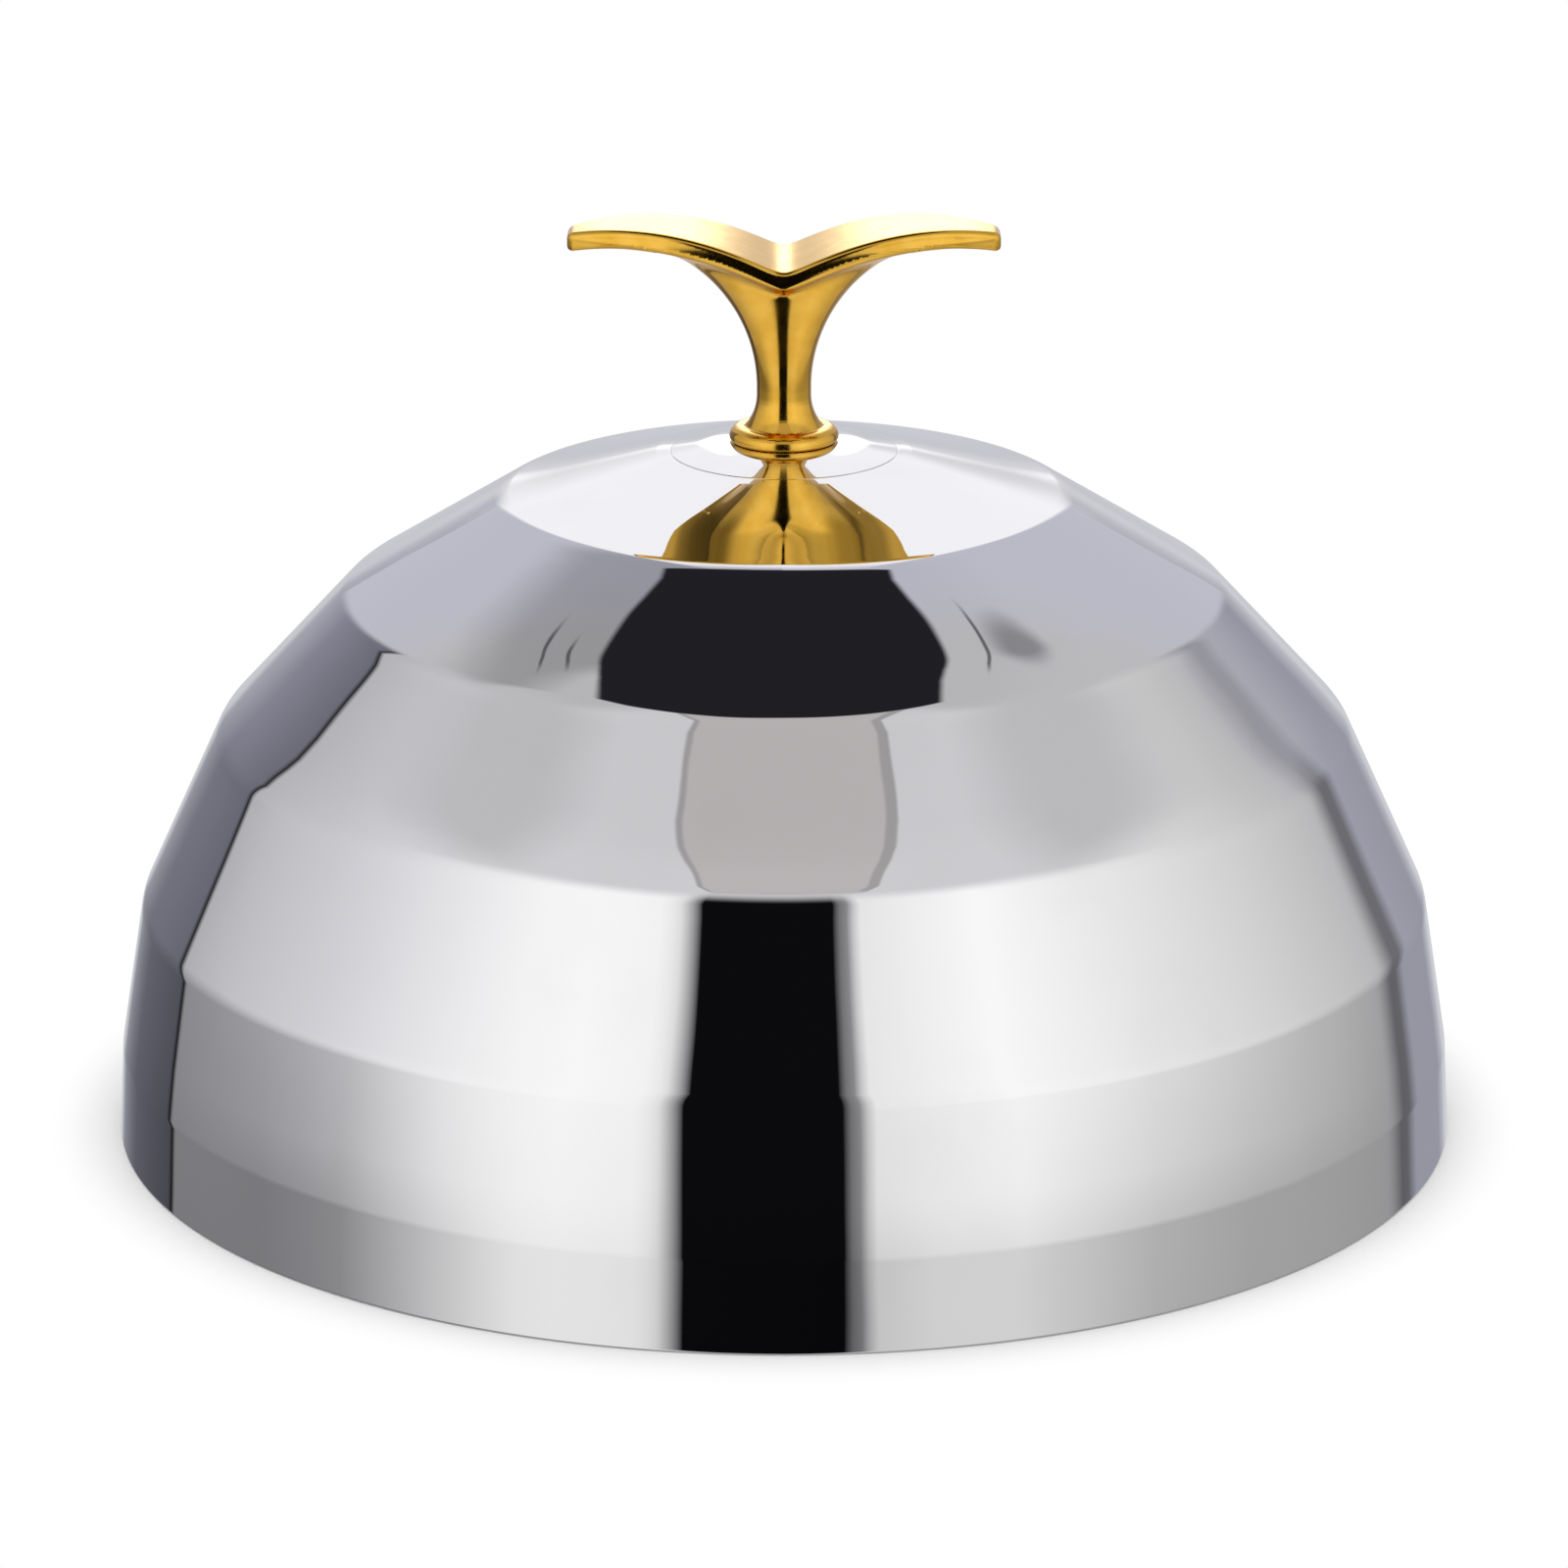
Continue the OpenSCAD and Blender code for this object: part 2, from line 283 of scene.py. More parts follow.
# %% Polished gold
polished_gold, net, surface = new_finish("polished_gold", (0.86, 0.5, 0.07), 1.0, 0.1)
point = own_point(net)
dips = noise(net, point, 120.0, 1.5)
touched = noise(net, point, 210.0, 4.0)
clean, dull = (0.88, 0.52, 0.08, 1.0), (0.8, 0.44, 0.05, 1.0)
feed(surface, "Base Color", blend(net, rises(touched, 0.3, 0.8), clean, dull))
feed(surface, "Roughness", rises(touched, 0.35, 0.75, 0.1, 0.16))
bumped(surface, dips, 0.05 * MM)
print(polished_gold.name, "has", len(polished_gold.node_tree.nodes), "nodes")

# %% [markdown]
# ### Turned steel and rubber
#
# Stud, washers and nut are bright stainless hardware: turned or stamped, then tumbled, so they shine softly
# and carry small nicks. The seal is black silicone with a dry, slightly dusty skin.

# %% Turned steel
satin_steel, net, surface = new_finish("satin_steel", (0.6, 0.6, 0.61), 1.0, 0.25)
point = own_point(net)
turned = rings_on(*round_axis(point), 4000.0, 2.0)
nicks = noise(net, point, 900.0, 3.0)
clean, dull = (0.62, 0.62, 0.63, 1.0), (0.45, 0.45, 0.455, 1.0)
feed(surface, "Base Color", blend(net, rises(nicks, 0.55, 0.75), clean, dull))
feed(surface, "Roughness", rises(turned, 0.3, 0.7, 0.2, 0.34))
bumped(surface, turned + nicks, 0.004 * MM)
print(satin_steel.name, "has", len(satin_steel.node_tree.nodes), "nodes")

# %% Black rubber
seal_rubber, net, surface = new_finish("seal_rubber", (0.05, 0.05, 0.05), 0.0, 0.7)
skin = noise(net, own_point(net), 1500.0, 3.0)
black, dusty = (0.035, 0.035, 0.037, 1.0), (0.07, 0.069, 0.067, 1.0)
feed(surface, "Base Color", blend(net, skin, black, dusty))
feed(surface, "Roughness", rises(skin, 0.3, 0.7, 0.6, 0.8))
bumped(surface, skin, 0.02 * MM)
print(seal_rubber.name, "has", len(seal_rubber.node_tree.nodes), "nodes")

# %% [markdown]
# ## Turning an outline into a piece
#
# Dome, rosette and flat washer are bodies of revolution. Blender's Screw modifier or Spin tool could turn
# an outline, but a mirror shows the smallest error in the normals. So the outline carries its own normals,
# worked out from its lines and arcs, and they are handed to the mesh as custom normals: then even a coarse
# lathe reflects like a perfect one.

# %% A rounded corner of an outline
def corner_arc(before, corner, after, radius, steps):
    """Points and normals of an arc that rounds a corner of an outline, in the outline's own direction."""
    before, corner, after = (np.array(p, float) for p in (before, corner, after))
    to_before = (before - corner) / np.linalg.norm(before - corner)
    to_after = (after - corner) / np.linalg.norm(after - corner)
    half = math.acos(max(-1.0, min(1.0, to_before @ to_after))) / 2
    middle = to_before + to_after
    centre = corner + middle / np.linalg.norm(middle) * radius / math.sin(half)
    start = corner + to_before * radius / math.tan(half) - centre
    finish = corner + to_after * radius / math.tan(half) - centre
    arc = [start * (1 - s) + finish * s for s in np.linspace(0, 1, steps)]
    arc = [a / np.linalg.norm(a) for a in arc]
    turn = (corner - before)[0] * (after - corner)[1] - (corner - before)[1] * (after - corner)[0]
    side = 1.0 if turn < 0 else -1.0
    return [(centre + radius * a, a * side) for a in arc]


print("corners can be rounded")

# %% Outlines with their normals
WIDE_BEND = 2 * MM


def outline(corners, share=1.0):
    """Points and normals of (radius, height, rounding) corners in mm, clockwise round the metal.

    The share makes all radii a little smaller or larger."""
    corners = [(r * MM * share, z * MM, rounding * MM) for r, z, rounding in corners]
    made = []
    for i, (r, z, rounding) in enumerate(corners):
        before, after = corners[i - 1][:2], corners[(i + 1) % len(corners)][:2]
        if rounding:
            made += corner_arc(before, (r, z), after, rounding, 9 if rounding > WIDE_BEND else 5)
        else:
            a, b, c = np.array(before), np.array((r, z)), np.array(after)
            lean = (b - a) / np.linalg.norm(b - a) + (c - b) / np.linalg.norm(c - b)
            made.append((b, np.array((-lean[1], lean[0])) / np.linalg.norm(lean)))
    return made


print("outlines carry their normals")

# %% [markdown]
# Every mesh here is a grid of points: columns that stand beside each other, each with the same number of
# rows. One function joins them with squares, and another one dresses a finished mesh: it gives it its
# finish, names the body that it moves with and hides the solid that it stands for.

# %% Grids and pieces
def at_angle(points, angle):
    """Points of an outline, (radius, height), as (x, y, z) at an angle about the axis."""
    c, s = math.cos(angle), math.sin(angle)
    return [(p[0] * c, p[0] * s, p[1]) for p in points]


def squares_between(columns, rows, join_columns=True, join_rows=True):
    """The squares of a grid, whose last column or row may be joined to its first."""
    faces = []
    for k in range(columns if join_columns else columns - 1):
        a, b = k * rows, (k + 1) % columns * rows
        for i in range(rows if join_rows else rows - 1):
            faces.append((a + i, a + (i + 1) % rows, b + (i + 1) % rows, b + i))
    return faces


def dressed(mesh, finish, body, node):
    """A piece with this mesh and finish, which rides on a body and stands for a solid."""
    mesh.materials.append(finish)
    piece = bpy.data.objects.new(mesh.name, mesh)
    scene.collection.objects.link(piece)
    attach(piece, body)
    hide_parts(node)
    print(mesh.name, "has", len(mesh.polygons), "faces")
    return piece


print("grids and pieces are ready")

# %% The lathe
def lathe(name, made, steps, finish, body, node):
    """Turns an outline with its normals about the axis into one closed piece."""
    verts, normals = [], []
    for angle in np.linspace(0, 2 * math.pi, steps, endpoint=False):
        verts += at_angle([p for p, n in made], angle)
        normals += at_angle([n for p, n in made], angle)
    mesh = bpy.data.meshes.new(name)
    mesh.from_pydata(verts, [], squares_between(steps, len(made)))
    mesh.shade_smooth()
    mesh.normals_split_custom_set_from_vertices(normals)
    return dressed(mesh, finish, body, node)


print("the lathe is ready")

# %% [markdown]
# ## The dome
#
# One sheet, drawn into a flat crown and six conical bands. The bands meet in soft bends of 12 mm radius,
# the bright lines between the reflections. At the rim the sheet is folded up inside, so that the edge is
# stiff and can't cut. The numbers are those of the solid, and the radii are pulled in by the hair that the
# solid's own mesh falls short of a true circle, so the dome stays in the solid's box.

# %% The corners of the dome's sheet
SHEET, BEND, HOLE_R, CROWN, RIM_R = 1.0, 12.0, 3.3, 154.2, 150.0
bands = [(27.0, CROWN), (62.55, 144.79), (97.8, 122.74), (125.85, 92.21), (143.7, 53.04),
         (148.95, 20.05), (RIM_R, 0.0)]


def inside_of(points, sheet):
    """The same corners one sheet further in, square to the lines."""
    out = []
    points = [np.array(p) for p in points]
    sides = [(b - a) / np.linalg.norm(b - a) for a, b in zip(points, points[1:])]
    normals = [np.array((-s[1], s[0])) for s in sides]
    for i, p in enumerate(points):
        n, m = normals[max(i - 1, 0)], normals[min(i, len(normals) - 1)]
        out.append(p - sheet * (n + m) / (1 + n @ m))
    return out


inner = inside_of([(HOLE_R, CROWN)] + bands, SHEET)[1:-1]
print("the dome has", len(bands) - 1, "bands of", SHEET, "mm sheet")

# %% The dome's outline
HEM_HIGH, HEM_R, HEM_EDGE = 7.0, 149.63, 0.4
corners = [(HOLE_R, CROWN, 0)] + [(r, z, BEND) for r, z in bands[:-1]]
corners += [(RIM_R, 0.0, HEM_EDGE), (RIM_R - 2 * SHEET, 0.0, HEM_EDGE)]
corners += [(HEM_R - 2 * SHEET, HEM_HIGH, HEM_EDGE), (HEM_R - SHEET, HEM_HIGH, 0)]
corners += [(p[0], p[1], BEND - SHEET) for p in reversed(inner)] + [(HOLE_R, CROWN - SHEET, 0)]
snug = min(-cad_box[0][0], -cad_box[0][1], cad_box[1][0], cad_box[1][1]) / (RIM_R * MM)
dome_line = outline(corners, snug)
print("the dome's outline has", len(dome_line), "points")

# %% [markdown]
# Between its bends the sheet isn't quite straight. The photograph's reflections tell: the mirrored handle
# is wider than a straight cone would show it, and the dark opening overhead bulges and narrows again above
# a bend. So the skin's normals lean a few degrees off the straight line, most of all just above a bend. The
# table gives the lean in degrees at a few radii; long straight runs get more points so that it can show.
# Next to the flat crown the skin leans almost as much as the rosette's edge, so that the mirrored handle
# runs on from one to the other without a notch.

# %% The lean of the dome's skin
LEAN = [(24, 3.4), (46, 3.3), (50, 2.9), (54, 1.9), (58, 0.8), (61.5, 0.1), (64.5, -4), (71, -2.4),
        (77.5, -0.2), (83.5, 1.6), (86.5, 3), (89, 5.4), (92, 7), (96.5, 8), (99.5, 1.5), (115, 1.5),
        (119.5, 3), (122, 6), (124.5, 8), (127, 0), (143.9, 0), (147, 0.8), (148.8, 3), (149.05, -1.5),
        (149.7, 0)]
LEAN_FROM, CREASE_R, CREASE_TILT = 25, 30, 17
LONG_RUN, RIM_POINTS = 3 * MM, 5


def leaned(made):
    """The outline with more points on its long runs and its outer normals leaning as the table says."""
    out = []
    rim = min(range(len(made)), key=lambda i: made[i][0][1])
    for i, ((p, n), (q, m)) in enumerate(zip(made, made[1:] + made[:1])):
        outside = i < rim - RIM_POINTS
        extra = int(np.linalg.norm(q - p) / LONG_RUN) if outside else 0
        for s in np.linspace(0, 1, extra + 1, endpoint=False):
            place, normal = p * (1 - s) + q * s, n * (1 - s) + m * s
            if outside and place[0] > LEAN_FROM * MM:
                tilt = math.atan2(normal[0], normal[1])
                tilt += math.radians(np.interp(place[0] / MM, *zip(*LEAN)))
                tilt = max(tilt, math.radians(CREASE_TILT if place[0] < CREASE_R * MM else 0))
                normal = np.array((math.sin(tilt), math.cos(tilt)))
            out.append((place, normal / np.linalg.norm(normal)))
    return out


dome_line = leaned(dome_line)
print("with its lean the outline has", len(dome_line), "points")

# %% The dome
dome = lathe("dome_shell_mirror", dome_line, 288, mirror_steel, "cover", "dome_shell")
dome.data.materials.append(satin_inside)
rows = len(dome_line)
rim = min(range(rows), key=lambda i: dome_line[i][0][1])
satin_from = next(i for i in range(rim, rows) if dome_line[i][0][1] > (HEM_HIGH - SHEET) * MM)
for face in dome.data.polygons:
    if min(v % rows for v in face.vertices) >= satin_from:
        face.material_index = 1
print("the dome turns satin inside from outline point", satin_from, "of", rows)

# %% [markdown]
# ## The rosette
#
# A thin pressed disc stands between the handle's foot and the crown. Its top falls like a low cone, and its
# edge is feathered down onto the crown, so in the mirror it is no more than a faint ring. Below, the disc
# follows its top one sheet lower, or lies on the crown where that line would pass below it. Like the dome's
# skin, its normals lean more towards the edge than the straight cone's.

# %% The rosette's outline
FOOT_SEAT_R, EDGE_R, EDGE_H, TOP_H, DISC = 12.2, 25.1, 0.12, 2.4, 0.6
fall = math.atan2(TOP_H - EDGE_H, EDGE_R - FOOT_SEAT_R)
radii = np.linspace(FOOT_SEAT_R + 0.4, EDGE_R - 0.3, 12)
tilts = np.radians(np.interp(radii, (16.5, 19.5), (10.0, 18.3)))
upper = [((r, TOP_H - (r - FOOT_SEAT_R) * math.tan(fall)), (math.sin(a), math.cos(a)))
         for r, a in zip(radii, tilts)]
edge = [((EDGE_R, EDGE_H / 2), (0.5, 0.866)), ((EDGE_R - 0.1, 0.0), (0.0, -1.0))]
under = [((r, max(z - DISC, 0.0)), (-n if z > DISC else 0.0, -m)) for (r, z), (n, m) in reversed(upper)]
rosette_line = [((HOLE_R, TOP_H), (0.0, 1.0)), ((FOOT_SEAT_R - 0.4, TOP_H), (0.0, 1.0))]
rosette_line += upper + edge + under + [((HOLE_R, TOP_H - DISC), (0.0, -1.0))]
rosette_line = [(np.array((r * MM, (z + CROWN) * MM)), np.array(n)) for (r, z), n in rosette_line]
print("the rosette falls at", round(math.degrees(fall), 1), "degrees")

# %% The rosette
lathe("handle_rosette_mirror", rosette_line, 192, mirror_steel, "cover", "handle_rosette")

# %% [markdown]
# ## The handle
#
# The casting is one flowing form: a round foot, a waisted stem, a flare and two wings. Lofts of rings give
# each of these, but not the soft way in which they melt together. So each form is written as a field, a
# rule that gives about the distance from any point to its skin, and the fields are joined with a soft
# minimum that fills the inner corner. The solid's own mesh is rebuilt in even small squares, and every
# point then slides onto the skin of the joined field, whose slope is also the exact normal.

# %% Field of the wings
PEAK, WAIST, THICK = 205.69, 168.6, 4.2
HALF_SPAN, WING_DEPTH, WING_TAPER, WING_EDGE = 47.4, 14.25, 10.5, 1.3
CREST_X, VALLEY_DROP, VALLEY_SOFT = 33, 9.2, 2.2


def wing_middle(x, soft):
    """Height of the middle of the wings, with the valley between them rounded over a soft length."""
    return PEAK - THICK / 2 - VALLEY_DROP * ((np.sqrt(x * x + soft * soft) - CREST_X) / CREST_X) ** 2


def wings(p):
    """A bent bar with rounded edges: how far a point lies outside of it along each of its three ways."""
    x, y, z = p.T
    depth = WING_DEPTH - WING_TAPER * np.minimum(np.abs(x) / HALF_SPAN, 1.2) ** 2
    sizes = np.stack([np.full(len(x), HALF_SPAN), depth, np.full(len(x), THICK / 2)], axis=1) - WING_EDGE
    out = np.abs(np.stack([x, y, z - wing_middle(x, VALLEY_SOFT)], axis=1)) - sizes
    return np.linalg.norm(np.maximum(out, 0), axis=1) + np.minimum(out.max(axis=1), 0) - WING_EDGE


valley = round(wing_middle(0.0, VALLEY_SOFT) + THICK / 2, 1)
print("wings rise to", PEAK, "mm and meet in a valley at", valley, "mm")

# %% [markdown]
# The flare grows out of the round stem into a wide oblong under the wings. Its side is an arc, and its top
# follows the wings' bend, so the share of the way up depends on the place across, which depends on the
# share in turn: a few rounds of guessing settle it.

# %% Field of the flare
STEM_R, FLARE_X, FLARE_Y, FLARE_SOFT = 6.0, 36.5, 12.5, 6.0
rise = wing_middle(FLARE_X, FLARE_SOFT) - WAIST
run = FLARE_X - STEM_R
bow = (rise ** 2 + run ** 2) / (2 * run)


def flare_width(up):
    """Half the flare's width at a share of the way up its arc."""
    return STEM_R + bow - np.sqrt(bow ** 2 - (rise * up) ** 2)


def flare(p):
    """A field that is 0 on the flare's skin and less than 0 inside."""
    x, y, z = p.T
    up = np.clip((z - WAIST) / rise, 0, 1)
    for _ in range(8):
        across = FLARE_X * np.minimum(np.abs(x) / flare_width(up), 1)
        up = np.clip((z - WAIST) / (wing_middle(across, FLARE_SOFT) - WAIST), 0, 1)
    depth = STEM_R + (FLARE_Y - STEM_R) * up ** 1.5
    power = 2 + 1.2 * up
    return ((np.abs(x) / flare_width(up)) ** power + (np.abs(y) / depth) ** power) ** (1 / power) - 1


print("the flare opens from", STEM_R, "to", FLARE_X, "mm on an arc of", round(bow, 1), "mm")

# %% [markdown]
# Foot and stem are turned: a rounded edge below, a fuller one above and a hollow arc up to the waist. Their
# field is the plain distance to that outline, with a count of crossings to tell inside from outside.

# %% Field of the foot and the stem
FOOT, FOOT_HALF, STEM_HIGH, HOLLOW_HIGH, HOLLOW_DEEP = 156.6, 1.02, 10.4, 7.0, 2.6
hollow_r = (HOLLOW_HIGH ** 2 + HOLLOW_DEEP ** 2) / (2 * HOLLOW_DEEP)


def arc(r, z, radius, start, end, count):
    """Points of an arc about a centre in the outline's plane, between two angles in radians."""
    return [(r + radius * math.cos(a), z + radius * math.sin(a)) for a in np.linspace(start, end, count)]


low_edge = arc(11.08, FOOT + FOOT_HALF, 1.02, -math.pi / 2, 0, 9)
high_edge = arc(9.72, FOOT + FOOT_HALF, 2.38, 0.1, math.pi / 2, 12)
hollow_start = math.pi + math.asin(HOLLOW_HIGH / hollow_r)
hollow = arc(STEM_R + hollow_r, FOOT + STEM_HIGH, hollow_r, hollow_start, math.pi, 13)
foot_line = np.array([(0.0, FOOT)] + low_edge + high_edge + hollow + [(STEM_R, WAIST), (0.0, WAIST)])


def foot_and_stem(p):
    """Signed distance to the turned outline of the foot and the stem."""
    q = np.stack([np.hypot(p[:, 0], p[:, 1]), p[:, 2]], axis=1)
    nearest, inside = np.full(len(q), 1e9), np.zeros(len(q), bool)
    for a, b in zip(foot_line, np.roll(foot_line, -1, axis=0)):
        side, to = b - a, q - a
        along = np.clip(to @ side / max(side @ side, 1e-9), 0, 1)
        if a[0] or b[0]:
            nearest = np.minimum(nearest, np.linalg.norm(to - along[:, None] * side, axis=1))
        crosses = (a[1] > q[:, 1]) != (b[1] > q[:, 1])
        drop = b[1] - a[1] if b[1] != a[1] else 1.0
        inside ^= crosses & (q[:, 0] < a[0] + (q[:, 1] - a[1]) * side[0] / drop)
    return np.where(inside, -nearest, nearest)


print("the foot is", 2 * round(float(foot_line[:, 0].max()), 1), "mm wide")

# %% The whole casting as one field
FILLET, OVERLAP = 3.0, 3.0


def slope(field, p, step=0.02):
    """The field's slope at each point, from small steps along X, Y and Z."""
    return np.stack([(field(p + step * e) - field(p - step * e)) / (2 * step) for e in np.eye(3)], axis=1)


def distance(field, p):
    """A field divided by its steepness, which is close to a distance near the skin."""
    return field(p) / np.maximum(np.linalg.norm(slope(field, p), axis=1), 1e-6)


def casting(p):
    """The joined field: the flare ends under the wings, and the inner corner between them is filled."""
    wing = distance(wings, p)
    under_wings = p[:, 2] - wing_middle(p[:, 0], VALLEY_SOFT) + THICK / 2
    ends = np.maximum(under_wings, WAIST - OVERLAP - p[:, 2])
    neck = np.minimum(np.maximum(distance(flare, p), ends), foot_and_stem(p))
    near = np.maximum(FILLET - np.abs(wing - neck), 0) / FILLET
    return np.minimum(wing, neck) - near * near * FILLET / 4


print("wings, flare, foot and stem join with a fillet of", FILLET, "mm")

# %% The handle's solid in even squares
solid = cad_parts["winged_handle"]
rough = bpy.data.objects.new("rough_handle", solid.data.copy())
rough.data.transform(solid.matrix_world)
scene.collection.objects.link(rough)
remesh = rough.modifiers.new("even squares", "REMESH")
remesh.mode = "VOXEL"
remesh.voxel_size = 0.4 * MM
mesh = bpy.data.meshes.new_from_object(rough.evaluated_get(bpy.context.evaluated_depsgraph_get()))
bpy.data.objects.remove(rough)
print("the handle's solid has", len(mesh.polygons), "even squares")

# %% [markdown]
# The bore for the stud isn't in the field, so its points stay where they are and keep their own normals,
# which a normal of zero length asks for. All other points slide along the slope, half a millimetre at most
# in one go, and after six goes they lie on the skin.

# %% The handle's skin
BORE_R, BORE_TOP, FARTHEST = 3.6, WAIST - 0.4, 0.5
skin = np.empty(len(mesh.vertices) * 3)
mesh.vertices.foreach_get("co", skin)
skin = skin.reshape(-1, 3) / MM
bore = (np.hypot(skin[:, 0], skin[:, 1]) < BORE_R) & (skin[:, 2] < BORE_TOP)
free = skin[~bore]
for _ in range(6):
    lean = slope(casting, free)
    steep = np.linalg.norm(lean, axis=1)[:, None]
    way = np.clip(casting(free)[:, None] / np.maximum(steep, 0.2), -FARTHEST, FARTHEST)
    free -= way * lean / steep
skin[~bore] = free
lean = slope(casting, free)
normals = np.zeros_like(skin)
normals[~bore] = lean / np.linalg.norm(lean, axis=1)[:, None]
print("the handle's skin is off by at most", round(float(np.abs(casting(free)).max()), 3), "mm")

# %% The handle
mesh.vertices.foreach_set("co", (skin * MM).ravel())
mesh.shade_smooth()
mesh.normals_split_custom_set_from_vertices(normals.tolist())
mesh.materials.clear()
mesh.name = "winged_handle_gold"
dressed(mesh, polished_gold, "cover", "winged_handle")

# %% [markdown]
# ## The fastening inside
#
# Under the crown sit a stud with its thread, a flat washer, a split spring washer and a cap nut. The thread
# is a cylinder whose radius follows a zigzag that climbs one millimetre a turn, the pitch of this standard
# stud. These pieces are small and turned, so plain meshes with sharp edges do.

# %% Pieces with sharp edges
def sharp_piece(name, verts, faces, body, node, angle=35):
    """A steel piece from points in mm, with sharp edges where its faces meet at more than the angle."""
    mesh = bpy.data.meshes.new(name)
    mesh.from_pydata((np.array(verts) * MM).tolist(), [], faces)
    mesh.shade_smooth()
    mesh.set_sharp_from_angle(angle=math.radians(angle))
    return dressed(mesh, satin_steel, body, node)


def end_faces(columns, rows):
    """The two faces that close the first and the last column of a grid."""
    last = (columns - 1) * rows
    return [tuple(range(rows - 1, -1, -1)), tuple(last + i for i in range(rows))]


print("sharp pieces are ready")

# %% The stud's thread
STUD_LOW, STUD_HIGH, STUD_R, STUD_END_R = 143.6, 167.6, 2.98, 2.4
TURN_STEPS, PITCH_STEPS = 28, 8
levels = np.linspace(STUD_LOW, STUD_HIGH, int((STUD_HIGH - STUD_LOW) * PITCH_STEPS) + 1)
angles = np.linspace(0, 2 * math.pi, TURN_STEPS, endpoint=False)
z, a = np.meshgrid(levels, angles, indexing="ij")
phase = (z - a / (2 * math.pi)) % 1.0
depth = np.clip(np.abs(phase - 0.5) * 2 * 0.8 - 0.1, 0, 0.55)
r = np.minimum(STUD_R - depth, STUD_END_R + np.minimum(z - STUD_LOW, STUD_HIGH - z))
verts = np.stack([r * np.cos(a), r * np.sin(a), z], axis=2).reshape(-1, 3)
faces = squares_between(len(levels), TURN_STEPS, join_columns=False) + end_faces(len(levels), TURN_STEPS)
sharp_piece("handle_stud_thread", verts, faces, "cover", "handle_stud", angle=60)

# %% [markdown]
# The flat washer is stamped, so one edge is rounder than the other. The spring washer is a ring with a
# slit: its outline goes around the axis almost to where it began, and both ends are closed.

# %% The washers
flat_line = outline([(3.3, 153.2, 0), (9.0, 153.2, 0.25), (9.0, 151.6, 0.5), (3.3, 151.6, 0.2)])
lathe("flat_washer_steel", flat_line, 96, satin_steel, "washers", "flat_washer")
SPRING_R, HALF_SLIT = 5.9, 0.4
spring_line = [(3.3, 151.6), (5.7, 151.6), (SPRING_R, 151.4), (SPRING_R, 150.2), (5.7, 150.0), (3.3, 150.0)]
gap = math.asin(HALF_SLIT / SPRING_R)
turns = np.linspace(gap, 2 * math.pi - gap, 80)
verts = [place for angle in turns for place in at_angle(spring_line, angle)]
faces = squares_between(len(turns), len(spring_line), join_columns=False)
faces += end_faces(len(turns), len(spring_line))
sharp_piece("spring_washer_steel", verts, faces, "washers", "spring_washer")

# %% [markdown]
# A cap nut is a hexagon whose corners are cut by a flat cone, with a round cap below. Around the axis its
# radius is that of a hexagon, so the nut can be made like a lathe whose outline breathes with the angle:
# the cone's cut is low where the hexagon's corner sticks out.

# %% The cap nut
NUT_LOW, FLAT, CAP_R, NUT_STEPS, SIXTH = 138.0, 5.0, 4.75, 96, math.pi / 3
cap_arc = np.radians(np.linspace(0, 86, 12))
cap = [(CAP_R * math.cos(t), NUT_LOW + CAP_R - CAP_R * math.sin(t)) for t in cap_arc]
verts = []
for angle in [2 * math.pi * k / NUT_STEPS for k in range(NUT_STEPS)]:
    hexagon = FLAT / math.cos((angle + SIXTH / 2) % SIXTH - SIXTH / 2)
    cut = (hexagon - FLAT) * math.tan(math.radians(30))
    threaded = [(3.05, 145.0), (3.05, 149.8), (3.25, 150.0), (FLAT - 0.1, 150.0)]
    sides = [(hexagon, 149.96 - cut), (hexagon, 144.54 + cut), (FLAT, 144.5), (CAP_R, 144.3)]
    verts += at_angle(threaded + sides + cap, angle)
rows = len(threaded + sides + cap)
faces = squares_between(NUT_STEPS, rows, join_rows=False)
faces += [tuple(k * rows for k in range(NUT_STEPS))]
faces += [tuple(k * rows + rows - 1 for k in range(NUT_STEPS - 1, -1, -1))]
sharp_piece("cap_nut_steel", verts, faces, "nut", "cap_nut", angle=18)

# %% [markdown]
# The rubber seal fills the hollow under the rosette. Nothing of it shows, so its solid stays as it is and
# only takes the rubber finish.

# %% The seal
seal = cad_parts["seal_washer"]
seal.data.materials.clear()
seal.data.materials.append(seal_rubber)
print("the seal keeps its solid and wears", seal.data.materials[0].name)

# %% [markdown]
# ## The studio
#
# A mirror has no colour of its own: it shows the room. The photograph's room can be read from the dome. It
# is a white light tent with a tall dark slit for the camera, a dark opening overhead, a seam at the back
# left and greyer cloth behind it. Real cloth and lamps could be hung up, but it is easier to paint the
# inside of one large sphere that only mirrors see: each direction from the cover then has its own tone.
# Directions are given as the azimuth, 0 towards the camera and less than 0 on the left, and the height,
# both in degrees.

# %% Directions in the tent
tent_finish, net, surface = new_finish("light_tent", (0.0, 0.0, 0.0), 0.0, 1.0)
surface.inputs["Specular IOR Level"].default_value = 0.0
surface.inputs["Emission Strength"].default_value = 1.0
towards = net.node("ShaderNodeVectorMath", {"operation": "NORMALIZE"}, {0: own_point(net)})
x, y, z = parts_of(towards)
azimuth = net.math("ARCTAN2", x, 0 - y) * (180 / math.pi)
height = net.math("ARCSINE", z) * (180 / math.pi)
aside = net.math("ABSOLUTE", azimuth)
print("the tent knows its directions from", len(tent_finish.node_tree.nodes), "nodes")

# %% [markdown]
# The wall is a ramp around the cover: azimuth, lightness, and how much bluer than grey it is. The slit is
# the black stretch in front, with soft grey folds at its edges, and the seam is the thin black line on the
# left. Near the floor the cloth is in shade, more so at the sides, and high on the right it is paler.

